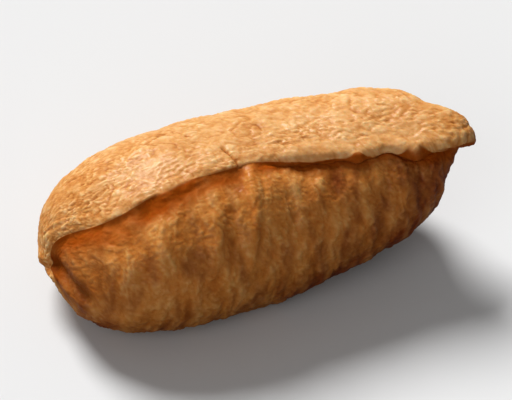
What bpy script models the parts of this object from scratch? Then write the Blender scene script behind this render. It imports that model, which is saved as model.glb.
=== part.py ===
"""Inari sushi: a pouch of simmered fried tofu, filled with rice and folded shut.

Metres, +Z up. The pouch lies along X on the plane z = 0, with its fuller, blunt
end at -X and the pointed ear of its top sheet at +X. The belly faces -Y. The top
sheet lies over the crest, and its folded edge, the lip, hangs over the belly.
The origin is under the middle of the pouch's box.
"""
import math

import bmesh
import bpy
import numpy as np

MM = 0.001

# Overall size of the finished pouch
LENGTH = 84.0 * MM
WIDTH = 40.0 * MM
HEIGHT = 32.0 * MM

# The filled body, before the ear is drawn out of it
EAR_LENGTH = 6.4 * MM
BODY_LENGTH = LENGTH - EAR_LENGTH
BLUNT_END = 2.8                # superellipse power of the side outline at -X
EAR_END = 2.7                  # and at +X
END_BLEND = 0.4                # share of the body over which one power turns into the other
SECTION_POWER = 2.3            # superellipse power of the cross-section
WIDTH_TAPER = 0.13             # part of the width lost from the middle to the +X end
HEIGHT_TAPER = 0.03
BLUNT_END_SHRINK = (0.8, 1.4)  # how early width and height close in at -X
EAR_END_SHRINK = (0.5, 0.48)   # and at +X
BLUNT_POLE = (3.0 * MM, 11.5 * MM)   # y and z where the end at -X closes
EAR_POLE = (-4.0 * MM, 22.0 * MM)    # and where the end at +X closes
SIDE_WAYS = (-0.5, 0.5)        # the values at -X turn into those at +X between these
FRONT_EASE = 1.6 * MM          # how much the front closes in low down, towards +X
FRONT_EASE_ANGLE = 225.0       # where on the section it does so most
FRONT_EASE_SPREAD = 35.0
FRONT_EASE_WAYS = (0.0, 0.6)   # where along the body it begins and is full
BASE_CUT = 2.6 * MM            # how far the resting side is pressed flat

# The lip: its angle round the section in degrees, from +Y over the crest to the front
LIP_ANGLE = 103.5
LIP_TURN_EAR = (24.0, 1.3)     # it comes down towards the ear: degrees, and how sharply
LIP_TURN_TIP = (12.0, 6.0)
LIP_TURN_BLUNT = (36.0, 9.0)   # and climbs back over the blunt end
LIP_DIP = 5.0                  # after it has come down a little before that end
LIP_DIP_WAY = -0.8
LIP_DIP_REACH = 0.25
LIP_BEAD = 0.6 * MM            # rounded edge that stands proud
BEAD_DROP = -1.2 * MM          # where on the sheet it does so most
BEAD_REACH = 1.4 * MM
LIP_OVERHANG = 1.5 * MM        # how far the edge hangs down over the belly
OVERHANG_DROP = -0.2 * MM
OVERHANG_REACH = 1.2 * MM
LIP_CHANNEL = 2.2 * MM         # depth of the hollow just under it
CHANNEL_START = (-0.4 * MM, 1.2 * MM)
CHANNEL_REACH = 6.0 * MM       # how far down the belly the hollow fades out
LIP_SOFT_PLACES = (-3.0 * MM, 9.0 * MM)   # from here towards -X the fold is rounder
LIP_SOFTNESS = 0.25            # height of its bead there
CHANNEL_SOFTNESS = 0.3         # least depth of the hollow
LOBE_PLACES = (17.6 * MM, 29.2 * MM) # where the edge hangs lower
LOBE_HANG = 1.2 * MM
LOBE_WIDTH = 2.4 * MM

# The fold in the middle of the belly, which runs up over the lip and flattens it
FOLD_PLACE = -2.9 * MM
FOLD_LEAN = -0.30
FOLD_HEIGHT = 0.9 * MM
FOLD_WIDTH = 2.0 * MM
FOLD_TOP = (-0.5 * MM, 2.5 * MM)     # below the lip
FOLD_FOOT = (24.0 * MM, 16.0 * MM)
BRIDGE_PLACE = -4.2 * MM
BRIDGE_WIDTH = 2.4 * MM
BRIDGE_FLATNESS = 0.8

# The ear, drawn out of the upper corner of the +X end
EAR_PLACE = (-7.5 * MM, 27.2 * MM)
EAR_REACH = (5.8 * MM, 5.2 * MM)     # half width and half thickness
EAR_SQUARENESS = 3.0           # how square the ear's section and outline are
EAR_ROOT = 20.0 * MM           # x from which the sheet is drawn out

# The tucks, grooves across the end faces, with a flap along the lower side of each
TUCK_DEPTH = 1.2 * MM
TUCK_WIDTH = 1.7 * MM
BLUNT_TUCK_TOP = 15.0 * MM     # highest point of the arched groove at -X
BLUNT_TUCK_MIDDLE = -6.5 * MM
BLUNT_TUCK_BEND = 28.0         # how sharply it arches, per metre
BLUNT_TUCK_BACK = (6.5 * MM, 3.0 * MM)      # y where it fades out
BLUNT_TUCK_FRONT = (-13.5 * MM, -9.5 * MM)
BLUNT_TUCK_FACE = (-33.0 * MM, -37.0 * MM)  # x where the end face begins
EAR_TUCK_PLACE = 5.0 * MM      # y of the straight groove at +X, where z is 0
EAR_TUCK_LEAN = -0.35
EAR_TUCK_FOOT = (6.0 * MM, 10.0 * MM)       # z where it fades out
EAR_TUCK_TOP = (25.0 * MM, 20.0 * MM)
EAR_TUCK_FACE = (26.0 * MM, 30.0 * MM)
FLAP_DROP = 1.9                # middle of the flap from the groove, in widths of the groove
FLAP_HEIGHT = 0.5              # in depths of the groove

# Soft pleats that run down the belly and the back
PLEAT_DEPTH = 0.55 * MM
PLEAT_PITCH = 9.0 * MM
SECOND_PITCH = 5.67 * MM       # a second set makes them uneven
SECOND_HEIGHT = 0.6
SECOND_PHASE = 1.3
PLEAT_LEAN = 0.25
PLEAT_START = (2.0 * MM, 8.0 * MM)   # distance from the lip where they begin
PLEAT_GIRTHS = (0.35, 0.8)     # girth at which they begin and are full
BACK_FOLD_DEPTH = 0.8 * MM     # long fold along the back, from rolling the pouch
BACK_FOLD_ANGLE = 8.0
BACK_FOLD_WIDTH = 3.0 * MM
END_GIRTHS = (0.1, 0.5)        # girth at which the lip and the folds begin and are full

# Coarse cage
OUTLINE_SAMPLES = 2001
STATIONS = 32
MERIDIANS = 36
CROWDING = 0.7                 # how much closer the meridians lie at the lip
SUBDIVISIONS = 1


def smooth(low, high, value):
    """Rise smoothly from 0 at low to 1 at high."""
    part = min(max((value - low) / (high - low), 0.0), 1.0)
    return part * part * (3.0 - 2.0 * part)


def swell(value, centre, reach):
    """A soft bump of height 1 at centre."""
    return math.exp(-((value - centre) / reach) ** 2)


def blend(first, second, part):
    return first + (second - first) * part


def side_outline(count):
    """Points evenly spaced along the body's outline, from the -X pole to the +X pole.

    Each is (way, girth): way runs from -1 to 1 along the body, and girth from 0 at
    a pole to 1 at full width.
    """
    angle = np.linspace(math.pi, 0.0, OUTLINE_SAMPLES)
    cosine, sine = np.cos(angle), np.abs(np.sin(angle))
    part = np.clip((cosine + END_BLEND) / (2.0 * END_BLEND), 0.0, 1.0)
    power = BLUNT_END + (EAR_END - BLUNT_END) * part * part * (3.0 - 2.0 * part)
    radius = (np.abs(cosine) ** power + sine ** power) ** (-1.0 / power)
    way, girth = radius * cosine, radius * sine
    steps = np.hypot(np.diff(way) * BODY_LENGTH / 2, np.diff(girth) * WIDTH / 2)
    travelled = np.concatenate(([0.0], np.cumsum(steps)))
    stops = np.linspace(0.0, travelled[-1], count)
    return list(zip(np.interp(stops, travelled, way), np.interp(stops, travelled, girth)))


def lip_angle(way):
    """Angle of the lip round the section, in degrees, at a place along the body."""
    ahead, behind = max(way, 0.0), max(-way, 0.0)
    angle = LIP_ANGLE + LIP_DIP * swell(way, LIP_DIP_WAY, LIP_DIP_REACH)
    angle += LIP_TURN_EAR[0] * ahead ** LIP_TURN_EAR[1] + LIP_TURN_TIP[0] * ahead ** LIP_TURN_TIP[1]
    return angle - LIP_TURN_BLUNT[0] * behind ** LIP_TURN_BLUNT[1]


def meridian_turn(number):
    """Turn from the lip to a meridian, crowded at the lip, in radians."""
    even = 2.0 * math.pi * number / MERIDIANS
    return even - CROWDING * math.sin(even)


def lip_relief(x, drop):
    """Outward and downward shift of the skin, at a distance below the lip's course."""
    edge = drop - LOBE_HANG * sum(swell(x, place, LOBE_WIDTH) for place in LOBE_PLACES)
    flat = BRIDGE_FLATNESS * swell(x, BRIDGE_PLACE, BRIDGE_WIDTH)
    crisp = blend(LIP_SOFTNESS, 1.0, smooth(*LIP_SOFT_PLACES, x)) * (1.0 - flat)
    hollow = smooth(*CHANNEL_START, edge) * math.exp(-max(edge, 0.0) / CHANNEL_REACH)
    out = LIP_BEAD * crisp * swell(edge, BEAD_DROP, BEAD_REACH)
    out -= LIP_CHANNEL * blend(CHANNEL_SOFTNESS, 1.0, crisp) * hollow
    return out, LIP_OVERHANG * crisp * swell(edge, OVERHANG_DROP, OVERHANG_REACH)


def tuck_relief(x, y, z):
    """How far the end faces go in along X: the grooves, less the flaps beside them."""
    if x < 0.0:
        gap = BLUNT_TUCK_TOP - BLUNT_TUCK_BEND * (y - BLUNT_TUCK_MIDDLE) ** 2 - z
        fade = smooth(*BLUNT_TUCK_BACK, y) * smooth(*BLUNT_TUCK_FRONT, y)
        fade *= smooth(*BLUNT_TUCK_FACE, x)
    else:
        gap = y - EAR_TUCK_PLACE - EAR_TUCK_LEAN * z
        fade = smooth(*EAR_TUCK_FOOT, z) * smooth(*EAR_TUCK_TOP, z) * smooth(*EAR_TUCK_FACE, x)
    flap = FLAP_HEIGHT * swell(gap, FLAP_DROP * TUCK_WIDTH, TUCK_WIDTH)
    return TUCK_DEPTH * fade * (swell(gap, 0.0, TUCK_WIDTH) - flap)


def pleat_relief(x, drop, girth):
    """The fold in the middle, and soft pleats, uneven in pitch, which fade at the ends."""
    place = x + PLEAT_LEAN * drop
    wave = math.sin(2.0 * math.pi * place / PLEAT_PITCH)
    wave += SECOND_HEIGHT * math.sin(2.0 * math.pi * place / SECOND_PITCH + SECOND_PHASE)
    fade = smooth(*PLEAT_START, abs(drop)) * smooth(*PLEAT_GIRTHS, girth)
    fold = swell(x, FOLD_PLACE + FOLD_LEAN * drop, FOLD_WIDTH)
    fold *= smooth(*FOLD_TOP, drop) * smooth(*FOLD_FOOT, drop)
    return PLEAT_DEPTH * 0.5 * wave * fade + FOLD_HEIGHT * fold


def skin_point(way, girth, turn):
    """Place of the pouch's skin at a station of the body and a turn from the lip."""
    side = smooth(*SIDE_WAYS, way)
    half_width = WIDTH / 2 * (1.0 - WIDTH_TAPER * way)
    half_height = HEIGHT / 2 * (1.0 - HEIGHT_TAPER * way)
    half_width *= girth ** blend(BLUNT_END_SHRINK[0], EAR_END_SHRINK[0], side)
    half_height *= girth ** blend(BLUNT_END_SHRINK[1], EAR_END_SHRINK[1], side)
    closing = 1.0 - girth * girth
    centre_y = blend(BLUNT_POLE[0], EAR_POLE[0], side) * closing
    centre_z = blend(HEIGHT / 2 * (1.0 - HEIGHT_TAPER * way),
                     blend(BLUNT_POLE[1], EAR_POLE[1], side), closing)

    angle = math.radians(lip_angle(way)) + turn
    cosine, sine = math.cos(angle), math.sin(angle)
    reach = (abs(cosine) ** SECTION_POWER + abs(sine) ** SECTION_POWER) ** (-1.0 / SECTION_POWER)
    x = -LENGTH / 2 + BODY_LENGTH / 2 * (1.0 + way)

    # Distance down the front from the lip, or a negative one over the back
    turned = turn if turn <= math.pi else turn - 2.0 * math.pi
    drop = turned * math.hypot(half_width, half_height) / math.sqrt(2.0)
    ends = smooth(*END_GIRTHS, girth)
    out, over = lip_relief(x, drop)
    out, over = out * ends, over * ends
    out += pleat_relief(x, drop, girth)
    ease = swell(math.degrees(angle), FRONT_EASE_ANGLE, FRONT_EASE_SPREAD)
    out -= FRONT_EASE * smooth(*FRONT_EASE_WAYS, way) * ease
    back = math.radians(BACK_FOLD_ANGLE) - angle
    back -= 2.0 * math.pi * round(back / (2.0 * math.pi))
    out -= BACK_FOLD_DEPTH * swell(back * half_width, 0.0, BACK_FOLD_WIDTH) * ends

    y = centre_y + (half_width * reach + out) * cosine - over * sine
    z = centre_z + (half_height * reach + out) * sine + over * cosine

    # The end faces go in at the tucks, and the upper corner at +X is drawn out into the ear
    tuck = tuck_relief(x, y, z)
    across = abs(y - EAR_PLACE[0]) / EAR_REACH[0]
    upward = abs(z - EAR_PLACE[1]) / EAR_REACH[1]
    drawn = math.exp(-across ** EAR_SQUARENESS - upward ** EAR_SQUARENESS)
    drawn *= smooth(EAR_ROOT, LENGTH / 2 - EAR_LENGTH, x)
    x += EAR_LENGTH * drawn - math.copysign(tuck, x)
    return x, y, max(z, BASE_CUT)


def make_cage():
    """The coarse closed cage: a loft of rings from pole to pole."""
    outline = side_outline(STATIONS)
    cage = bmesh.new()
    first = cage.verts.new(skin_point(*outline[0], 0.0))
    last = cage.verts.new(skin_point(*outline[-1], 0.0))
    rings = []
    for way, girth in outline[1:-1]:
        turns = [meridian_turn(number) for number in range(MERIDIANS)]
        rings.append([cage.verts.new(skin_point(way, girth, turn)) for turn in turns])
    for here in range(MERIDIANS):
        there = (here + 1) % MERIDIANS
        cage.faces.new((first, rings[0][there], rings[0][here]))
        cage.faces.new((last, rings[-1][here], rings[-1][there]))
        for ring, after in zip(rings, rings[1:]):
            cage.faces.new((ring[here], ring[there], after[there], after[here]))
    bmesh.ops.recalc_face_normals(cage, faces=cage.faces)
    mesh = bpy.data.meshes.new("inari")
    cage.to_mesh(mesh)
    cage.free()
    return mesh


def finished_box(piece):
    """Lowest and highest corner of the piece with its modifiers."""
    evaluated = piece.evaluated_get(bpy.context.evaluated_depsgraph_get())
    skin = evaluated.to_mesh()
    corners = np.array([vertex.co for vertex in skin.vertices])
    evaluated.to_mesh_clear()
    return corners.min(axis=0), corners.max(axis=0)


def fit_to_size(piece):
    """Bring the subdivided skin to its named size, centred and resting on z = 0."""
    low, high = finished_box(piece)
    scale = np.array((LENGTH, WIDTH, HEIGHT)) / (high - low)
    foot = np.array(((low[0] + high[0]) / 2, (low[1] + high[1]) / 2, low[2]))
    for vertex in piece.data.vertices:
        vertex.co = (np.array(vertex.co) - foot) * scale
    piece.data.update()


def fried_tofu_material():
    material = bpy.data.materials.new("fried_tofu")
    material.use_nodes = True
    shader = material.node_tree.nodes["Principled BSDF"]
    shader.inputs["Base Color"].default_value = (0.60, 0.29, 0.095, 1.0)
    shader.inputs["Roughness"].default_value = 0.5
    shader.inputs["Metallic"].default_value = 0.0
    return material


def make_inari(collection):
    piece = bpy.data.objects.new("inari", make_cage())
    collection.objects.link(piece)
    piece.data.materials.append(fried_tofu_material())
    piece.data.shade_smooth()
    soften = piece.modifiers.new("soften", "SUBSURF")
    soften.levels = SUBDIVISIONS
    soften.render_levels = SUBDIVISIONS
    fit_to_size(piece)
    return piece


def main():
    for old in list(bpy.data.objects):
        bpy.data.objects.remove(old, do_unlink=True)
    collection = bpy.data.collections.new("inari_sushi")
    bpy.context.scene.collection.children.link(collection)
    make_inari(collection)


main()
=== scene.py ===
import math
from typing import NamedTuple

import bpy
import numpy as np
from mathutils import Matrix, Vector


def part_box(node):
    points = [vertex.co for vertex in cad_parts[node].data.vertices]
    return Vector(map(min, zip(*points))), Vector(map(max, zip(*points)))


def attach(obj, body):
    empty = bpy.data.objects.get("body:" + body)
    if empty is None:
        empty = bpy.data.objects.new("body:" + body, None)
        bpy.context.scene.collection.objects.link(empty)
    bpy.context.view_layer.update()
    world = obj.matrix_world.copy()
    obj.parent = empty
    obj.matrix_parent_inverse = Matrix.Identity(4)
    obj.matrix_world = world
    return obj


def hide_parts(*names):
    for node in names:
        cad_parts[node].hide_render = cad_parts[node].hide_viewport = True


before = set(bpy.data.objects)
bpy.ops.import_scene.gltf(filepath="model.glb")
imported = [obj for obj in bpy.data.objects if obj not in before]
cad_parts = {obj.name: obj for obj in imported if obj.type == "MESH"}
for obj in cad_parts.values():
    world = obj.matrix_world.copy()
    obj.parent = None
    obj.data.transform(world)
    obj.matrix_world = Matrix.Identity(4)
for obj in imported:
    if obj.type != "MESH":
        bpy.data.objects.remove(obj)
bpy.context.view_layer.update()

# Lengths below are in millimetres. The skin is turned into metres where its mesh is made.
MM = 0.001
LOW, HIGH = (np.array(corner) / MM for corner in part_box("inari"))
LENGTH, WIDTH, HEIGHT = HIGH - LOW

# Limits below are pairs: where a thing begins to show, and where it shows in full. A swell is
# a soft bump: its place, its reach and its height. A rise is its two limits and its height.
# The way runs along the body from -1 at its blunt end to 1 at its ear end.

# The filled body, before the ear is drawn out of it
EAR_LENGTH = 6.4
BODY_LENGTH = LENGTH - EAR_LENGTH
BLUNT_END, EAR_END = 2.8, 2.7        # superellipse powers of the side outline
END_LIMITS = (-0.4, 0.4)             # where one power turns into the other
SECTION_POWER = 2.3
WIDTH_TAPER, HEIGHT_TAPER = 0.13, 0.03
SIDE_LIMITS = (-0.5, 0.5)            # where the blunt end's values below turn into the ear end's
BLUNT_END_SHRINK = (0.8, 1.4)        # how early width and height close in at -X
EAR_END_SHRINK = (0.5, 0.48)         # and at +X
BLUNT_POLE = (3.0, 11.5)             # y and z where the end at -X closes
EAR_POLE = (-4.0, 22.0)              # and where the end at +X closes
FRONT_EASE = 1.6                     # how much the front closes in low down, towards +X
FRONT_EASE_LIMITS = (0.0, 0.6)       # along the way
FRONT_EASE_ANGLE = math.radians(225.0)
FRONT_EASE_REACH = 0.6               # radians
BASE_CUT = 2.6                       # how far the resting side is pressed flat
BASE_ROUND = 0.5                     # softness of the edge round the pressed side

# The lip, the folded edge of the top sheet: its angle round the section at mid length, how
# many degrees it turns towards the ends, and the powers with which those turns grow
LIP_ANGLE = 103.5
LIP_TURN_EAR, LIP_TURN_TIP, LIP_TURN_BLUNT = 24.0, 12.0, 36.0
LIP_POWER_EAR, LIP_POWER_TIP, LIP_POWER_BLUNT = 1.3, 6, 9
LIP_DIPS = ((-0.8, 0.25, 5.0),)      # swells along the way, in degrees
LIP_WAVER = 0.3                      # how unevenly the edge runs
LIP_LOBES = ((-20.0, 8.0, 1.5), (17.6, 1.6, 0.9), (23.5, 2.0, -0.7), (29.2, 2.6, 1.5))
LIP_SOFT_LIMITS = (-3.0, 9.0)        # towards -X from here the fold is rounder
LIP_LEAST_CRISP = 0.12               # how crisp the rounder fold is
LIP_SOFTNESS = (1.9, 0.9)            # half of the step under the lip: round fold, crisp fold
LIP_BEAD, LIP_BEAD_PLACE, LIP_BEAD_REACH = 0.55, -1.1, 1.2
LIP_OVERHANG, LIP_OVERHANG_PLACE, LIP_OVERHANG_REACH = 1.7, -0.25, 1.0
LIP_CHANNEL = 2.4                    # depth of the hollow under the lip
CHANNEL_REACH = 6.5
CHANNEL_LEAST = 0.3                  # share of its depth under a fold that isn't crisp

# The ear, drawn out of the upper corner of the +X end
EAR_PLACE = (-7.5, 27.2)
EAR_REACH = (5.8, 5.2)
EAR_POWER = 3
EAR_ROOT = 20.0

# The tucks at the ends: a groove with a flap beside it
TUCK_DEPTH, TUCK_WIDTH = 1.0, 1.2
TUCK_TOP, TUCK_BEND, TUCK_MIDDLE = 13.5, 0.028, -6.5
BLUNT_TUCK_LIMITS = ((6.5, 3.0), (-13.5, -9.5), (-33.0, -37.0))      # of y, y and x
EAR_TUCK_PLACE, EAR_TUCK_LEAN = 5.0, -0.35
EAR_TUCK_LIMITS = ((5.0, 9.0), (25.0, 20.0), (26.0, 30.0))           # of z, z and x
FLAP_HEIGHT, FLAP_PLACE = 0.5, 1.9   # as shares of the groove's depth and width
TUCK_HALO = 3.0                      # reach of the painted shade along the groove, in widths of it

# The small nub at the blunt end, placed in y and z
NUB_HEIGHT, NUB_PLACE, NUB_REACH, NUB_LIMITS = 1.0, (6.0, 9.5), (2.2, 1.4), (-30.0, -38.0)

# The crease that crosses the lip, and the fold below it that runs up over the lip
CREASE_PLACE, CREASE_LEAN = -5.4, 0.31
CREASE_DEPTH, CREASE_WIDTH = 0.8, 0.40
CREASE_LIMITS = ((-5.6, -3.6), (0.6, -0.6))      # below the lip's course
CREASE_NOTCH = ((CREASE_PLACE + 0.4, 0.7, -0.35),)
BRIDGE_PLACE, BRIDGE_WIDTH = -4.2, 1.7
BRIDGE_FLATNESS = 0.8                # how far it flattens the lip

# Pleats below the lip, from -X to +X: place at the lip, height, width, lean, and how far
# below the lip each begins and ends. Those with a height below 0 are valleys.
PLEATS = (
    (-31.6, 0.30, 2.5, -0.25, 3.0, 20.0),
    (-25.8, -0.30, 1.0, -0.25, 0.5, 10.0),
    (-22.8, 0.35, 1.3, -0.25, 4.0, 20.0),
    (-16.4, -0.45, 1.8, -0.25, 4.0, 20.0),
    (-11.8, 0.45, 1.3, -0.25, 7.0, 24.0),
    (-7.7, -0.50, 1.5, -0.27, 2.0, 22.0),
    (-2.9, 0.80, 1.3, -0.30, 0.0, 24.0),
    (0.2, 0.45, 1.3, -0.28, 4.0, 12.0),
    (4.2, -0.50, 2.2, -0.25, 6.0, 22.0),
    (9.0, 0.30, 1.6, -0.25, 5.0, 22.0),
    (13.7, -0.35, 2.0, -0.25, 4.0, 15.0),
    (19.0, 0.30, 1.2, -0.22, 3.0, 20.0),
    (23.0, -0.30, 1.0, -0.20, 2.0, 18.0),
    (26.5, 0.30, 1.0, -0.18, 2.0, 18.0),
    (30.0, -0.40, 0.9, -0.15, 1.0, 16.0),
)
PLEAT_BEFORE, PLEAT_AFTER = 1.0, 2.0     # how long a pleat takes to begin
PLEAT_FADE = 8.0                         # and to end
PLEAT_GIRTH_LIMITS = (0.1, 0.5)          # pleats stop short of the ends
FOLD_GIRTH_LIMITS = (0.02, 0.12)         # and so do the lip and the tucks
SKIN_GIRTH_LIMITS = (0.0, 0.12)          # and the skin's fine relief

# Fineness of the mesh
OUTLINE_STEPS = 4001                 # fine steps that the even stations are measured with
STATIONS, MERIDIANS = 298, 330
CROWDING = 0.45                      # how closely the meridians crowd at the lip
MAP_MARGIN = 0.01                    # left free round the map for baking
TINY = 1e-9                          # keeps a length of 0 from dividing


class Noise(NamedTuple):
    """A pattern's spacing along the body and across it, its seed, and how it winds."""
    spacing: tuple
    seed: int
    winding: tuple = ()      # over what distance and how far it is moved about, and a seed
    start: float = 0.0       # where its lattice begins


# Patterns of the skin
LIP_NOISE = Noise((4.5, 4.5), 3, start=7.7)
TOP_WINDING = (5.0, 1.6, 11)
PEBBLES = Noise((1.35, 1.35), 31, (1.8, 0.7, 21))
BUBBLES = Noise((4.6, 4.6), 36)
TOP_GRIT = Noise((0.9, 0.9), 51, (1.8, 0.6, 41))
WRINKLES = Noise((1.5, 0.95), 71, (2.4, 1.1, 61))
CRACKS = Noise((5.5, 3.6), 78, (3.0, 1.2, 76))
CRACK_PATCHES = Noise((9.0, 9.0), 79)
CRINKLE_PATCHES = Noise((10.0, 10.0), 81)
ROUGH_PATCHES = Noise((7.0, 7.0), 86)
BESIDE_LIP = Noise((5.5, 1.2), 91)
TOP_LUMPS = Noise((9.0, 9.0), 101)
BELLY_WINDING = (7.0, 1.8, 111)
FOLDS = Noise((2.6, 9.0), 121)
STRANDS = Noise((1.15, 2.9), 131, (2.5, 0.8, 126))
BELLY_GRIT = Noise((1.0, 1.0), 151, (2.0, 0.7, 141))
BELLY_LUMPS = Noise((8.0, 8.0), 161)
STREAKS = Noise((3.4, 9.0), 181, (8.0, 2.0, 171))
GLOW_DEPTH_PATCHES = Noise((7.0, 7.0), 191)
GLOW_PATCHES = Noise((5.0, 5.0), 192)
TINT_PATCHES = Noise((7.0, 7.0), 211, (6.0, 2.0, 201))

# Relief of the top: shares of each pattern in its fine height, from 0 to 1, then heights
PEBBLED_PEBBLES, PEBBLED_WRINKLES, CRINKLED_WRINKLES = 0.5, 0.2, 0.75
TOP_GRIT_SHARE, BUBBLE_SHARE, CRACK_SHARE = 0.3, 0.25, 0.35
BUBBLE_SPARSENESS, CRACK_WIDTH = 2.0, 0.06
CRACK_PATCH_LIMITS = (-0.3, 0.4)
CRINKLE_PATCH_LIMITS = (-0.35, 0.35)
CRINKLE_SLOPE = 60.0                 # crinkles become more common towards -X, over this length
TOP_MIDDLE = 0.42                    # the fine height that a rough patch leaves as it is
ROUGH_MEAN, ROUGH_SPREAD = 0.75, 0.5
TOP_HEIGHTS, TOP_HEIGHT_LIMITS = (0.40, 0.58), (-20.0, 25.0)
TOP_LUMP_HEIGHT = 0.45
BESIDE_LIP_HEIGHT, BESIDE_LIP_PLACE, BESIDE_LIP_REACH = 0.2, -3.0, 2.4

# Relief of the belly: shares in its fine height and its mean, then heights
BELLY_MEAN, FOLD_SHARE, STRAND_SHARE, BELLY_GRIT_SHARE = 0.34, 0.30, 0.28, 0.22
FOLD_HEIGHT, STRAND_HEIGHT, BELLY_GRIT_HEIGHT, BELLY_LUMP_HEIGHT = 0.35, 0.18, 0.16, 0.35

# Where the top's skin ends and the belly's begins, below the lip's edge
BORDER, BORDER_RISES = -0.6, ((8.0, -4.0, -0.3), (28.0, 37.0, -1.4))
BORDER_WIDTH = 1.0
BELLY_TURN_LIMITS = (math.pi, 0.8 * math.pi)
# Faces near the ear that turn downward count as belly too, and take its darker colours as painted
# shade
EAR_FACE_LIMITS = ((0.3, -0.1), (31.0, 36.0), (4.0, -2.0))           # of slope, x and y
CALM, CALM_PLACE, CALM_REACH = 0.6, 0.6, 0.7     # less relief right under the lip's edge

# Colour: how golden the top is, how deep the orange band under the lip hangs (painted glow of
# light through the thin sheet and painted shade under the lip), and how dark the belly is with
# painted shade
TINT, TINT_SPREAD = 0.38, 0.5
TINT_LOW_RISES = ((0.5, 0.0, 0.5),)              # by height: painted shade, deeper low down
TINT_END_RISES = ((-20.0, -36.0, 0.45), (26.0, 38.0, 0.9))
GLOW_DEPTH, GLOW_DEPTH_SWELLS = 4.0, ((-33.0, 11.0, 2.6), (10.0, 9.0, 1.5))
GLOW_DEPTH_SPREAD, GLOW_FULL = 1.5, 0.35
GLOW, GLOW_SPREAD, GLOW_BRIDGED = 0.9, 0.4, 0.85
SHADE_HEIGHT_LIMITS = (0.72, 0.1)                 # by height
SHADE_AMOUNTS, SHADE_LIMITS = (0.42, 0.8), (-20.0, 15.0)
SHADE_END_RISES = ((0.0, 20.0, 0.25), (20.0, 34.0, 0.55), (-29.0, -37.0, 0.2))
# Random streaks of tone, painted light on the pleats' ridges and painted shade in their valleys,
# and painted shade along the crease
STREAK_TONE, PLEAT_LIGHT_AND_SHADE, CREASE_SHADE = 0.65, 0.7, 0.8


def smooth(low, high, value):
    """Rise smoothly from 0 at low to 1 at high."""
    part = np.clip((value - low) / (high - low), 0.0, 1.0)
    return part * part * (3.0 - 2.0 * part)


def swell(value, centre, reach):
    """A soft bump of height 1 at centre."""
    return np.exp(-((value - centre) / reach) ** 2)


def blend(first, second, part):
    return first + (second - first) * part


def within(values, limits):
    """1 where each value is well inside its limits, 0 where one of them is outside."""
    return math.prod(smooth(*pair, value) for value, pair in zip(values, limits))


def add_swells(total, value, swells):
    for place, reach, height in swells:
        total = total + height * swell(value, place, reach)
    return total


def add_rises(total, value, rises):
    for start, end, height in rises:
        total = total + height * smooth(start, end, value)
    return total


# Noise ---------------------------------------------------------------------------------

# Factors and shifts that mix up the bits of a whole number
AXIS_FACTORS = (0x9E3779B1, 0x85EBCA77, 0xC2B2AE3D)
SEED_FACTOR, WORD = 0x27D4EB2F, 0xFFFFFFFF
SCRAMBLE_ROUNDS = ((15, 0x2C1B3C6D), (12, 0x297A2D39), (15, 0x9E3779B1))
LAST_SHIFT = 15
TEN_BITS = 1023
WAVE_GAIN = 1.5              # brings waves to about -1 to 1
LAYER_FINENESS, LAYER_WEIGHT = 2.03, 0.5
CREASE_GAIN = 1.6
BLISTER_JITTER, BLISTER_CURVE = 0.42, 1.5
FAR = 9.0                    # squared, and further away than any blister


def scramble(cell, seed):
    """A whole number for each lattice cell, as good as random and the same each run."""
    code = np.uint32((seed * SEED_FACTOR) & WORD)
    for axis, factor in enumerate(AXIS_FACTORS):
        code = code ^ cell[..., axis].astype(np.int64).astype(np.uint32) * np.uint32(factor)
    for shift, factor in SCRAMBLE_ROUNDS:
        code = (code ^ (code >> np.uint32(shift))) * np.uint32(factor)
    return code ^ (code >> np.uint32(LAST_SHIFT))


def spread(code):
    """Three numbers from -1 to 1 for each code."""
    parts = [(code >> np.uint32(shift)) & np.uint32(TEN_BITS) for shift in (0, 10, 20)]
    return np.stack(parts, axis=-1).astype(float) / (TEN_BITS / 2) - 1.0


def waves(points, seed):
    """Smooth noise, from about -1 to 1, that changes over a distance of 1."""
    cell = np.floor(points)
    part = points - cell
    weight = part ** 3 * (part * (part * 6.0 - 15.0) + 10.0)
    total = 0.0
    for corner in np.ndindex(2, 2, 2):
        corner = np.array(corner)
        slope = spread(scramble(cell + corner, seed))
        share = np.prod(np.where(corner, weight, 1.0 - weight), axis=-1)
        total = total + share * np.sum(slope * (part - corner), axis=-1)
    return total * WAVE_GAIN


def stir(points, size, amount, seed):
    """Points moved about by noise, so that what is laid on them winds."""
    moved = [waves(points / size, seed + axis) for axis in range(3)]
    return points + amount * np.stack(moved, axis=-1)


def lay(points, noise):
    """Points as the pattern's own lattice sees them."""
    if noise.winding:
        points = stir(points, *noise.winding)
    along, across = noise.spacing
    return points / np.array((along, across, across)) + noise.start


def ripple(points, noise, layers=1):
    """Smooth noise, with finer and weaker layers on top."""
    laid = lay(points, noise)
    return sum(waves(laid * LAYER_FINENESS ** layer, noise.seed + layer) * LAYER_WEIGHT ** layer
               for layer in range(layers))


def creases(points, noise):
    """Rounded swellings, 0 to 1, with sharp valleys between them."""
    return np.clip(np.abs(ripple(points, noise)) * CREASE_GAIN, 0.0, 1.0)


def winding_lines(points, noise, width):
    """Thin lines, 1 along their middle, that wind about one spacing apart."""
    return np.exp(-(ripple(points, noise) / width) ** 2)


def blisters(points, noise, sparse=1.0):
    """Round domes, one in each lattice cell: 1 at the middle, 0 at the edge."""
    laid = lay(points, noise)
    cell = np.floor(laid)
    nearest = np.full(laid.shape[:-1], FAR)
    for step in np.ndindex(3, 3, 3):
        near = cell + np.array(step) - 1.0
        centre = near + 0.5 + BLISTER_JITTER * spread(scramble(near, noise.seed))
        nearest = np.minimum(nearest, np.sum((laid - centre) ** 2, axis=-1))
    return np.clip(1.0 - nearest * BLISTER_CURVE * sparse ** 2, 0.0, 1.0)


# Form ----------------------------------------------------------------------------------

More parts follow.
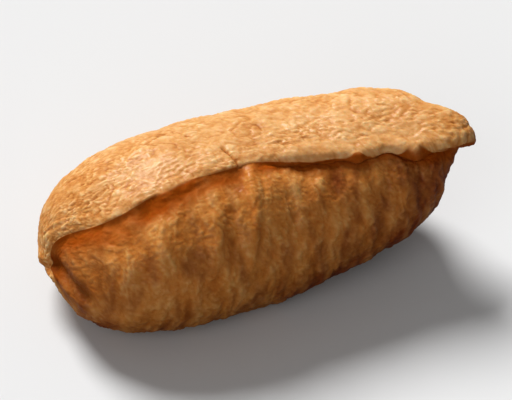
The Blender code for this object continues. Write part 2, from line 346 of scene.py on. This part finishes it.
def side_outline(count):
    """Way (-1 to 1 along the body) and girth (0 to 1) at evenly spaced stations."""
    angle = np.linspace(math.pi, 0.0, OUTLINE_STEPS)
    cosine, sine = np.cos(angle), np.abs(np.sin(angle))
    power = blend(BLUNT_END, EAR_END, smooth(*END_LIMITS, cosine))
    radius = (np.abs(cosine) ** power + sine ** power) ** (-1.0 / power)
    way, girth = radius * cosine, radius * sine
    steps = np.hypot(np.diff(way) * BODY_LENGTH / 2, np.diff(girth) * WIDTH / 2)
    travelled = np.concatenate(([0.0], np.cumsum(steps)))
    stops = np.linspace(0.0, travelled[-1], count)
    return np.interp(stops, travelled, way), np.interp(stops, travelled, girth)


def lip_angle(way):
    """Angle of the lip round the section, in radians, at a place along the body."""
    ahead, behind = np.maximum(way, 0.0), np.maximum(-way, 0.0)
    angle = LIP_ANGLE + LIP_TURN_EAR * ahead ** LIP_POWER_EAR
    angle = angle + LIP_TURN_TIP * ahead ** LIP_POWER_TIP
    angle = angle - LIP_TURN_BLUNT * behind ** LIP_POWER_BLUNT
    return np.radians(add_swells(angle, way, LIP_DIPS))


def lip_edge(x):
    """How far the lip's edge hangs below its even course."""
    line = np.stack([x, np.zeros_like(x), np.zeros_like(x)], axis=-1)
    return add_swells(LIP_WAVER * ripple(line, LIP_NOISE, 2), x, LIP_LOBES + CREASE_NOTCH)


def lip_relief(x, edge):
    """Outward and downward shift of the skin, at a distance below the lip's edge."""
    crisp = blend(LIP_LEAST_CRISP, 1.0, smooth(*LIP_SOFT_LIMITS, x))
    crisp = crisp * (1.0 - BRIDGE_FLATNESS * swell(x, BRIDGE_PLACE, BRIDGE_WIDTH))
    soft = blend(*LIP_SOFTNESS, crisp)
    hollow = smooth(-soft, soft, edge) * np.exp(-np.maximum(edge, 0.0) / CHANNEL_REACH)
    bead = LIP_BEAD * crisp * swell(edge, LIP_BEAD_PLACE, LIP_BEAD_REACH)
    over = LIP_OVERHANG * crisp * swell(edge, LIP_OVERHANG_PLACE, LIP_OVERHANG_REACH)
    return bead - LIP_CHANNEL * hollow * blend(CHANNEL_LEAST, 1.0, crisp), over


def tuck_line(x, y, z):
    """Shape of the groove across each end, with a flap beside it, and nearness to it."""
    blunt = (TUCK_TOP - TUCK_BEND * (y - TUCK_MIDDLE) ** 2 - z) / TUCK_WIDTH
    ear = (y - EAR_TUCK_PLACE - EAR_TUCK_LEAN * z) / TUCK_WIDTH
    grooves = ((blunt, within((y, y, x), BLUNT_TUCK_LIMITS)),
               (ear, within((z, z, x), EAR_TUCK_LIMITS)))
    total = 0.0
    halo = 0.0
    for gap, fade in grooves:
        total = total + fade * (swell(gap, 0.0, 1.0) - FLAP_HEIGHT * swell(gap, FLAP_PLACE, 1.0))
        halo = halo + fade * swell(gap, 0.0, TUCK_HALO)
    return total, halo


def pleat_relief(x, drop):
    """The pleats that hang from the lip."""
    total = 0.0
    for place, height, width, lean, start, end in PLEATS:
        limits = ((start - PLEAT_BEFORE, start + PLEAT_AFTER), (end, end - PLEAT_FADE))
        shape = swell(x, place + lean * drop, width)
        total = total + height * within((drop, drop), limits) * shape
    return total


def crease_line(x, drop):
    """How near the skin is to the middle of the crease that crosses the lip."""
    line = swell(x, CREASE_PLACE + CREASE_LEAN * drop, CREASE_WIDTH)
    return line * within((drop, drop), CREASE_LIMITS)


def meridian_turns():
    """Turn of each meridian from the lip, crowded at the lip, in radians."""
    even = np.linspace(0.0, 2.0 * math.pi, MERIDIANS, endpoint=False)[None, :]
    return even - CROWDING * np.sin(even)


def make_body():
    """The filled pouch without its folds: places, girth and distance below the lip's course."""
    way, girth = (values[1:-1, None] for values in side_outline(STATIONS + 2))
    turn = meridian_turns()

    side = smooth(*SIDE_LIMITS, way)
    half_width = WIDTH / 2 * (1.0 - WIDTH_TAPER * way)
    half_height = HEIGHT / 2 * (1.0 - HEIGHT_TAPER * way)
    half_width = half_width * girth ** blend(BLUNT_END_SHRINK[0], EAR_END_SHRINK[0], side)
    half_height = half_height * girth ** blend(BLUNT_END_SHRINK[1], EAR_END_SHRINK[1], side)
    closing = 1.0 - girth * girth
    centre_y = blend(BLUNT_POLE[0], EAR_POLE[0], side) * closing
    centre_z = blend(HEIGHT / 2 * (1.0 - HEIGHT_TAPER * way),
                     blend(BLUNT_POLE[1], EAR_POLE[1], side), closing)

    angle = lip_angle(way) + turn
    cosine, sine = np.cos(angle), np.sin(angle)
    reach = np.abs(cosine) ** SECTION_POWER + np.abs(sine) ** SECTION_POWER
    reach = reach ** (-1.0 / SECTION_POWER)
    ease = FRONT_EASE * smooth(*FRONT_EASE_LIMITS, way)
    ease = ease * swell(angle, FRONT_EASE_ANGLE, FRONT_EASE_REACH)
    x = np.broadcast_to(-LENGTH / 2 + BODY_LENGTH / 2 * (1.0 + way), angle.shape)
    y = centre_y + (half_width * reach - ease) * cosine
    z = centre_z + (half_height * reach - ease) * sine
    across = np.abs(y - EAR_PLACE[0]) / EAR_REACH[0]
    upward = np.abs(z - EAR_PLACE[1]) / EAR_REACH[1]
    drawn = np.exp(-across ** EAR_POWER - upward ** EAR_POWER)
    drawn = drawn * smooth(EAR_ROOT, LENGTH / 2 - EAR_LENGTH, x)
    places = np.stack([x + EAR_LENGTH * drawn, y, z], axis=-1)

    turned = np.where(turn <= math.pi, turn, turn - 2.0 * math.pi)
    drop = turned * np.hypot(half_width, half_height) / math.sqrt(2.0)
    return press_base(places), girth, drop


def press_base(places):
    """Press the resting side flat, then bring the pouch to its place in the frame."""
    above = (places[..., 2] - BASE_CUT) / BASE_ROUND
    places[..., 2] = BASE_ROUND * np.logaddexp(0.0, above)
    low = places.reshape(-1, 3).min(axis=0)
    high = places.reshape(-1, 3).max(axis=0)
    return LOW + (places - low) * (HIGH - LOW) / (high - low)


def directions(places):
    """Unit vectors outward from the skin, and round it from the lip down the front."""
    along = np.gradient(places, axis=0)
    around = np.roll(places, -1, axis=1) - np.roll(places, 1, axis=1)
    around /= np.linalg.norm(around, axis=-1, keepdims=True) + TINY
    normal = np.cross(around, along)
    normal /= np.linalg.norm(normal, axis=-1, keepdims=True) + TINY
    middle = places.reshape(-1, 3).mean(axis=0)
    return normal * np.sign(np.sum(normal * (places - middle))), around


def make_form():
    """The pouch with its lip, pleats and tucks, and how the skin lies to each of them."""
    places, girth, drop = make_body()
    x, y, z = (places[..., axis] for axis in range(3))
    edge = drop - lip_edge(x)
    crease = crease_line(x, drop)
    pleats = pleat_relief(x, drop)
    tuck, near_tuck = tuck_line(x, y, z)
    out, over = lip_relief(x, edge)
    nub = NUB_HEIGHT * swell(y, NUB_PLACE[0], NUB_REACH[0]) * swell(z, NUB_PLACE[1], NUB_REACH[1])
    nub = nub * smooth(*NUB_LIMITS, x)
    out = out + pleats * smooth(*PLEAT_GIRTH_LIMITS, girth)
    out = out - CREASE_DEPTH * crease - TUCK_DEPTH * tuck + nub
    normal, around = directions(places)
    fade = smooth(*FOLD_GIRTH_LIMITS, girth)
    places = places + normal * (out * fade)[..., None] + around * (over * fade)[..., None]
    return places, edge, girth, pleats, crease, near_tuck


# Skin ----------------------------------------------------------------------------------

def top_relief(places, edge):
    """Height of the pebbled, crinkled skin of the top sheet and the back."""
    x = places[..., 0]
    wound = stir(places, *TOP_WINDING)
    pebbles = blisters(wound, PEBBLES)
    bubbles = blisters(wound, BUBBLES, BUBBLE_SPARSENESS)
    wrinkles = creases(wound, WRINKLES)
    cracks = winding_lines(places, CRACKS, CRACK_WIDTH)
    cracks = cracks * smooth(*CRACK_PATCH_LIMITS, ripple(places, CRACK_PATCHES))
    crinkled = ripple(places, CRINKLE_PATCHES, 2) - x / CRINKLE_SLOPE
    rough = ROUGH_MEAN + ROUGH_SPREAD * ripple(places, ROUGH_PATCHES)
    fine = blend(PEBBLED_PEBBLES * pebbles + PEBBLED_WRINKLES * wrinkles,
                 CRINKLED_WRINKLES * wrinkles, smooth(*CRINKLE_PATCH_LIMITS, crinkled))
    fine = fine + TOP_GRIT_SHARE * creases(places, TOP_GRIT)
    fine = TOP_MIDDLE + (fine - TOP_MIDDLE) * rough
    fine = fine + BUBBLE_SHARE * bubbles - CRACK_SHARE * cracks

    course = np.stack([x, edge, np.zeros_like(edge)], axis=-1)
    beside_lip = creases(course, BESIDE_LIP) * swell(edge, BESIDE_LIP_PLACE, BESIDE_LIP_REACH)
    height = blend(*TOP_HEIGHTS, smooth(*TOP_HEIGHT_LIMITS, x)) * fine
    height = height + TOP_LUMP_HEIGHT * ripple(places, TOP_LUMPS, 2)
    return fine, height + BESIDE_LIP_HEIGHT * beside_lip


def belly_relief(places):
    """Height of the smoother skin under the lip, which hangs in soft upright folds."""
    wound = stir(places, *BELLY_WINDING)
    folds = ripple(wound, FOLDS, 2)
    strands = creases(wound, STRANDS)
    grit = creases(places, BELLY_GRIT)
    fine = BELLY_MEAN + FOLD_SHARE * folds + STRAND_SHARE * strands + BELLY_GRIT_SHARE * grit
    height = FOLD_HEIGHT * folds + STRAND_HEIGHT * strands + BELLY_GRIT_HEIGHT * grit
    return fine, height + BELLY_LUMP_HEIGHT * ripple(places, BELLY_LUMPS, 2)


def belly_part(places, edge, slope):
    """1 where the skin is the belly's, 0 where it is the top's."""
    x, y = places[..., 0], places[..., 1]
    border = add_rises(BORDER, x, BORDER_RISES)
    belly = smooth(border - BORDER_WIDTH, border, edge)
    belly = belly * smooth(*BELLY_TURN_LIMITS, meridian_turns())
    return np.maximum(belly, within((slope, x, y), EAR_FACE_LIMITS))


def belly_glow(places, edge):
    """How saturated the orange band under the lip is: a painted glow of light through the thin
    sheet, and painted shade under the lip.
    """
    x = places[..., 0]
    depth = add_swells(GLOW_DEPTH, x, GLOW_DEPTH_SWELLS)
    depth = depth + GLOW_DEPTH_SPREAD * ripple(places, GLOW_DEPTH_PATCHES)
    glow = smooth(depth, GLOW_FULL * depth, edge)
    glow = glow * (GLOW + GLOW_SPREAD * ripple(places, GLOW_PATCHES))
    return glow * (1.0 - GLOW_BRIDGED * swell(x, BRIDGE_PLACE, BRIDGE_WIDTH))


def belly_shade_and_streaks(places, pleats):
    """Painted shade on the belly, most of all low down and towards +X, painted light and shade on
    the pleats, and random streaks.
    """
    x, tall = places[..., 0], places[..., 2] / HEIGHT
    shade_and_streaks = smooth(*SHADE_HEIGHT_LIMITS, tall) * blend(*SHADE_AMOUNTS, smooth(*SHADE_LIMITS, x))
    shade_and_streaks = add_rises(shade_and_streaks, x, SHADE_END_RISES)
    return shade_and_streaks - STREAK_TONE * ripple(places, STREAKS, 3) - PLEAT_LIGHT_AND_SHADE * pleats


def top_tint(places):
    """How deep a gold the top is: deeper in random patches, deeper low down and towards +X as
    painted shade, and deeper towards -X.
    """
    tint = TINT + TINT_SPREAD * ripple(places, TINT_PATCHES, 3)
    tint = add_rises(tint, places[..., 2] / HEIGHT, TINT_LOW_RISES)
    return add_rises(tint, places[..., 0], TINT_END_RISES)


def make_skin():
    """The finished places of the skin, and the values that its material reads."""
    places, edge, girth, pleats, crease, near_tuck = make_form()
    outward = directions(places)[0]
    belly = belly_part(places, edge, outward[..., 2])
    top_fine, top_height = top_relief(places, edge)
    belly_fine, belly_height = belly_relief(places)
    calm = 1.0 - CALM * swell(edge, CALM_PLACE, CALM_REACH)
    height = blend(top_height, belly_height, belly) * calm * smooth(*SKIN_GIRTH_LIMITS, girth)
    height = height - height.mean()
    skin = places + outward * height[..., None]
    skin[..., 2] = np.maximum(skin[..., 2], 0.0)

    values = {
        "fine": blend(top_fine, belly_fine, belly) - CREASE_SHADE * crease,
        "belly": belly,
        "glow": belly * belly_glow(places, edge),
        "shade_and_streaks": belly_shade_and_streaks(places, pleats),
        "tuck": near_tuck,
        "tint": top_tint(places),
    }
    return skin, {name: np.clip(value, 0.0, 1.0) for name, value in values.items()}


def make_mesh(name, places, values):
    """A closed mesh of the skin's rings and two poles, with a map for baking."""
    rings, around = places.shape[:2]
    body = places.reshape(-1, 3)
    poles = np.stack([places[0].mean(axis=0), places[-1].mean(axis=0)])
    first, last = rings * around, rings * around + 1
    ring, spoke = np.meshgrid(np.arange(rings - 1), np.arange(around), indexing="ij")
    after = (spoke + 1) % around
    quads = np.stack([ring * around + spoke, ring * around + after,
                      (ring + 1) * around + after, (ring + 1) * around + spoke], axis=-1)
    spokes = np.arange(around)
    ahead = (spokes + 1) % around
    last_ring = last - 1 - around
    start = np.stack([np.full(around, first), ahead, spokes], axis=-1)
    end = np.stack([np.full(around, last), last_ring + spokes, last_ring + ahead], axis=-1)

    mesh = bpy.data.meshes.new(name)
    corners = np.concatenate([body, poles]) * MM
    faces = quads.reshape(-1, 4).tolist() + start.tolist() + end.tolist()
    mesh.from_pydata(corners.tolist(), [], faces)
    for label, value in values.items():
        ends = [value[0].mean(), value[-1].mean()]
        field = mesh.attributes.new(label, "FLOAT", "POINT")
        field.data.foreach_set("value", np.concatenate([value.ravel(), ends]).astype(np.float32))

    # One chart: rings run across it, and it is cut along the meridian under the pouch
    seam = around // 2
    turn, step = (spoke - seam) % around / around, 1 / around
    near, far = (ring + 1) / (rings + 1), (ring + 2) / (rings + 1)
    chart = [chart_corners((near, turn), (near, turn + step), (far, turn + step), (far, turn))]
    turn = (spokes - seam) % around / around
    near, far = np.full(around, 1 / (rings + 1)), np.full(around, rings / (rings + 1))
    middle = turn + step / 2
    chart.append(chart_corners((0 * near, middle), (near, turn + step), (near, turn)))
    chart.append(chart_corners((0 * far + 1, middle), (far, turn), (far, turn + step)))
    chart = MAP_MARGIN + (1 - 2 * MAP_MARGIN) * np.concatenate(chart)
    layer = mesh.uv_layers.new(name="OFBake")
    layer.uv.foreach_set("vector", chart.astype(np.float32).ravel())
    mesh.shade_smooth()
    mesh.update()
    return mesh


def chart_corners(*corners):
    """The corners of many faces on the chart, face after face."""
    return np.stack([np.stack(corner, axis=-1) for corner in corners], axis=-2).reshape(-1, 2)


# Material ------------------------------------------------------------------------------

# Colours from the valleys of the fine relief to its tops, in linear light
# In every ramp the valleys are darker as painted shade and the tops paler as painted highlights,
# over the skin's own cream and orange-brown
GOLDEN_LIGHT = ((0.16, (0.50, 0.180, 0.040)), (0.34, (0.68, 0.310, 0.095)),
                (0.52, (0.78, 0.420, 0.160)), (0.78, (0.88, 0.570, 0.280)))
GOLDEN_RICH = ((0.16, (0.36, 0.100, 0.014)), (0.34, (0.56, 0.200, 0.042)),
               (0.52, (0.69, 0.300, 0.082)), (0.78, (0.84, 0.480, 0.190)))
# The belly's colours are darker than the top's: partly the simmered skin's own amber, partly
# painted shade of the side turned from the light
BELLY_PALE = ((0.25, (0.49, 0.130, 0.016)), (0.42, (0.57, 0.182, 0.028)),
              (0.60, (0.64, 0.240, 0.048)), (0.85, (0.74, 0.360, 0.105)))
# The shaded copy of the belly's colours: painted shade, laid on low down and towards +X
BELLY_SHADED = ((0.25, (0.095, 0.015, 0.001)), (0.42, (0.145, 0.023, 0.002)),
              (0.60, (0.22, 0.039, 0.004)), (0.85, (0.40, 0.100, 0.016)))
# A saturated orange under the lip: painted glow of light through the thin sheet, and painted
# shade under its overhang
GLOW_COLOUR = (0.36, 0.067, 0.002, 1)
# Painted shade in and beside the tucks' grooves, and how strongly it is laid on
TUCK_SHADE_COLOUR, TUCK_SHADE_AMOUNT = (0.22, 0.046, 0.003, 1), 0.75

# Grains: how many a metre holds, layers, and weight of the finer layers. Depths are in metres.
SPECKLE = (900.0, 3.0, 0.6)
PORES = (1500.0, 4.0, 0.65)
FINE_IN_TONE, SPECKLE_IN_TONE = 0.75, 0.35
ROUGHNESS, SPECKLE_IN_ROUGHNESS, GLOW_IN_ROUGHNESS = 0.60, 0.25, 0.3
SCATTER_WEIGHT, SCATTER_COLOUR, SCATTER_DEPTH = 0.25, (1.0, 0.42, 0.14), 0.0022
SHINE = 0.04
JUICE, FINE_IN_JUICE, GLOW_DRYNESS = 0.04, 0.24, 2.5     # the wet coat, thickest on the tops
JUICE_ROUGHNESS = 0.22
PORE_STRENGTH, PORE_DEPTH = 0.5, 0.0003


def put(tree, socket, value):
    """Link an output to a socket, or set its plain value."""
    if isinstance(value, bpy.types.NodeSocket):
        tree.links.new(value, socket)
    else:
        socket.default_value = value


def attribute(tree, name):
    node = tree.nodes.new("ShaderNodeAttribute")
    node.attribute_name = name
    return node.outputs["Fac"]


def calculate(tree, operation, first, second, clamp=False):
    node = tree.nodes.new("ShaderNodeMath")
    node.operation, node.use_clamp = operation, clamp
    put(tree, node.inputs[0], first)
    put(tree, node.inputs[1], second)
    return node.outputs[0]


def scaled(tree, value, factor):
    return calculate(tree, "MULTIPLY", value, factor)


def mix(tree, part, first, second):
    node = tree.nodes.new("ShaderNodeMix")
    node.data_type = "RGBA"
    put(tree, node.inputs["Factor"], part)
    for socket in node.inputs:
        if socket.type == "RGBA":
            put(tree, socket, first if socket.name == "A" else second)
    return [socket for socket in node.outputs if socket.type == "RGBA"][0]


def ramp(tree, value, stops):
    """Colours at steps of a value: each stop is a place and a colour."""
    node = tree.nodes.new("ShaderNodeValToRGB")
    elements = node.color_ramp.elements
    while len(elements) < len(stops):
        elements.new(0.5)
    for element, (place, colour) in zip(elements, stops):
        element.position = place
        element.color = (*colour, 1)
    put(tree, node.inputs["Fac"], value)
    return node.outputs["Color"]


def grain(tree, scale, detail, roughness):
    """Noise laid through the object's own space."""
    where = tree.nodes.new("ShaderNodeTexCoord")
    node = tree.nodes.new("ShaderNodeTexNoise")
    node.inputs["Scale"].default_value = scale
    node.inputs["Detail"].default_value = detail
    node.inputs["Roughness"].default_value = roughness
    tree.links.new(where.outputs["Object"], node.inputs["Vector"])
    return node.outputs["Fac"]


def fried_tofu():
    """Moist, simmered fried tofu: golden and pebbled above, amber and smoother below the lip."""
    material = bpy.data.materials.new("fried_tofu_skin")
    material.use_nodes = True
    tree = material.node_tree
    shader = tree.nodes["Principled BSDF"]
    fine, belly, glow, shade_and_streaks, tuck, tint = (
        attribute(tree, name) for name in ("fine", "belly", "glow", "shade_and_streaks", "tuck", "tint"))

    speckle = grain(tree, *SPECKLE)
    # The tone follows the fine relief: painted shade in its valleys and painted highlights on its
    # tops, with random speckles
    tone = calculate(tree, "ADD", scaled(tree, fine, FINE_IN_TONE),
                     scaled(tree, speckle, SPECKLE_IN_TONE))
    top = mix(tree, tint, ramp(tree, tone, GOLDEN_LIGHT), ramp(tree, tone, GOLDEN_RICH))
    # Painted shade on the belly, most of all low down and towards +X, with painted light and
    # shade on the pleats
    side = mix(tree, shade_and_streaks, ramp(tree, tone, BELLY_PALE), ramp(tree, tone, BELLY_SHADED))
    # Painted glow of light through the thin sheet, and painted shade, in the band under the lip
    side = mix(tree, glow, side, GLOW_COLOUR)
    # Painted shade along the tucks' grooves
    side = mix(tree, scaled(tree, tuck, TUCK_SHADE_AMOUNT), side, TUCK_SHADE_COLOUR)
    # The belly's darker colours stand partly for painted shade on the side turned from the light
    put(tree, shader.inputs["Base Color"], mix(tree, belly, top, side))

    rough = calculate(tree, "SUBTRACT", ROUGHNESS, scaled(tree, speckle, SPECKLE_IN_ROUGHNESS))
    rough = calculate(tree, "ADD", rough, scaled(tree, glow, GLOW_IN_ROUGHNESS))
    put(tree, shader.inputs["Roughness"], rough)
    shader.inputs["Subsurface Weight"].default_value = SCATTER_WEIGHT
    shader.inputs["Subsurface Radius"].default_value = SCATTER_COLOUR
    shader.inputs["Subsurface Scale"].default_value = SCATTER_DEPTH
    shader.inputs["Specular IOR Level"].default_value = SHINE
    juice = calculate(tree, "ADD", JUICE, scaled(tree, fine, FINE_IN_JUICE))
    wet = calculate(tree, "SUBTRACT", 1.0, scaled(tree, glow, GLOW_DRYNESS), clamp=True)
    put(tree, shader.inputs["Coat Weight"], calculate(tree, "MULTIPLY", wet, juice))
    shader.inputs["Coat Roughness"].default_value = JUICE_ROUGHNESS

    bump = tree.nodes.new("ShaderNodeBump")
    bump.inputs["Strength"].default_value = PORE_STRENGTH
    bump.inputs["Distance"].default_value = PORE_DEPTH
    put(tree, bump.inputs["Height"], grain(tree, *PORES))
    put(tree, shader.inputs["Normal"], bump.outputs["Normal"])
    return material


def make_pouch():
    places, values = make_skin()
    piece = bpy.data.objects.new("pouch_skin", make_mesh("pouch_skin", places, values))
    bpy.context.scene.collection.objects.link(piece)
    piece.data.materials.append(fried_tofu())
    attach(piece, "root")
    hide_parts("inari")
    return piece


# Stage, in metres and degrees ----------------------------------------------------------

CAMERA_AZIMUTH = -22.0
CAMERA_ELEVATION = 44.0
CAMERA_DISTANCE = 1.8
FRAME_WIDTH = 0.100            # width of what the camera sees, at the object
SENSOR = 36.0                  # millimetres
CLIP_END = 10.0
FLOOR_SIZE = 40.0
FLOOR_TONE = (0.76, 0.24)      # as seen, and for the light that it throws back
FLOOR_ROUGHNESS, FLOOR_SHINE = 0.9, 0.1
SKY_TONE = (0.80, 0.15)        # as seen, and for the light that it gives
LIGHTS = (                     # name, azimuth, elevation, softness and strength
    ("key", 188.0, 46.0, 26.0, 3.9),
    ("fill", -48.0, 28.0, 60.0, 0.68),
)


def direction(azimuth, elevation):
    """Unit vector from the object: azimuth 0 is towards -Y, 90 towards +X."""
    turn, rise = math.radians(azimuth), math.radians(elevation)
    flat = math.cos(rise)
    return Vector((math.sin(turn) * flat, -math.cos(turn) * flat, math.sin(rise)))


def aim(thing, target):
    thing.rotation_euler = (target - thing.location).to_track_quat("-Z", "Y").to_euler()


def seen_or_lit(tree, seen, lit):
    """One value as the camera sees a surface, another for the light it throws back."""
    path = tree.nodes.new("ShaderNodeLightPath")
    return mix(tree, path.outputs["Is Camera Ray"], (lit, lit, lit, 1), (seen, seen, seen, 1))


def make_floor():
    bpy.ops.mesh.primitive_plane_add(size=FLOOR_SIZE, location=(0.0, 0.0, 0.0))
    floor = bpy.context.object
    floor.name = "floor"
    material = bpy.data.materials.new("floor_paper")
    material.use_nodes = True
    tree = material.node_tree
    shader = tree.nodes["Principled BSDF"]
    put(tree, shader.inputs["Base Color"], seen_or_lit(tree, *FLOOR_TONE))
    shader.inputs["Roughness"].default_value = FLOOR_ROUGHNESS
    shader.inputs["Specular IOR Level"].default_value = FLOOR_SHINE
    floor.data.materials.append(material)


def make_light(name, azimuth, elevation, softness, strength):
    light = bpy.data.lights.new(name, "SUN")
    light.angle, light.energy = math.radians(softness), strength
    lamp = bpy.data.objects.new(name, light)
    lamp.location = direction(azimuth, elevation)
    bpy.context.scene.collection.objects.link(lamp)
    aim(lamp, Vector())


def make_camera():
    camera = bpy.data.objects.new("camera", bpy.data.cameras.new("camera"))
    camera.data.sensor_width = SENSOR
    camera.data.lens = SENSOR * CAMERA_DISTANCE / FRAME_WIDTH
    camera.data.clip_end = CLIP_END
    middle = Vector(((LOW + HIGH) / 2 * MM).tolist())
    camera.location = middle + direction(CAMERA_AZIMUTH, CAMERA_ELEVATION) * CAMERA_DISTANCE
    aim(camera, middle)
    bpy.context.scene.collection.objects.link(camera)
    bpy.context.scene.camera = camera


def make_stage():
    make_floor()
    for light in LIGHTS:
        make_light(*light)
    world = bpy.data.worlds.new("studio")
    world.use_nodes = True
    backdrop = world.node_tree.nodes["Background"]
    put(world.node_tree, backdrop.inputs["Color"], seen_or_lit(world.node_tree, *SKY_TONE))
    bpy.context.scene.world = world
    bpy.context.scene.view_settings.view_transform = "Standard"
    make_camera()


make_pouch()
make_stage()
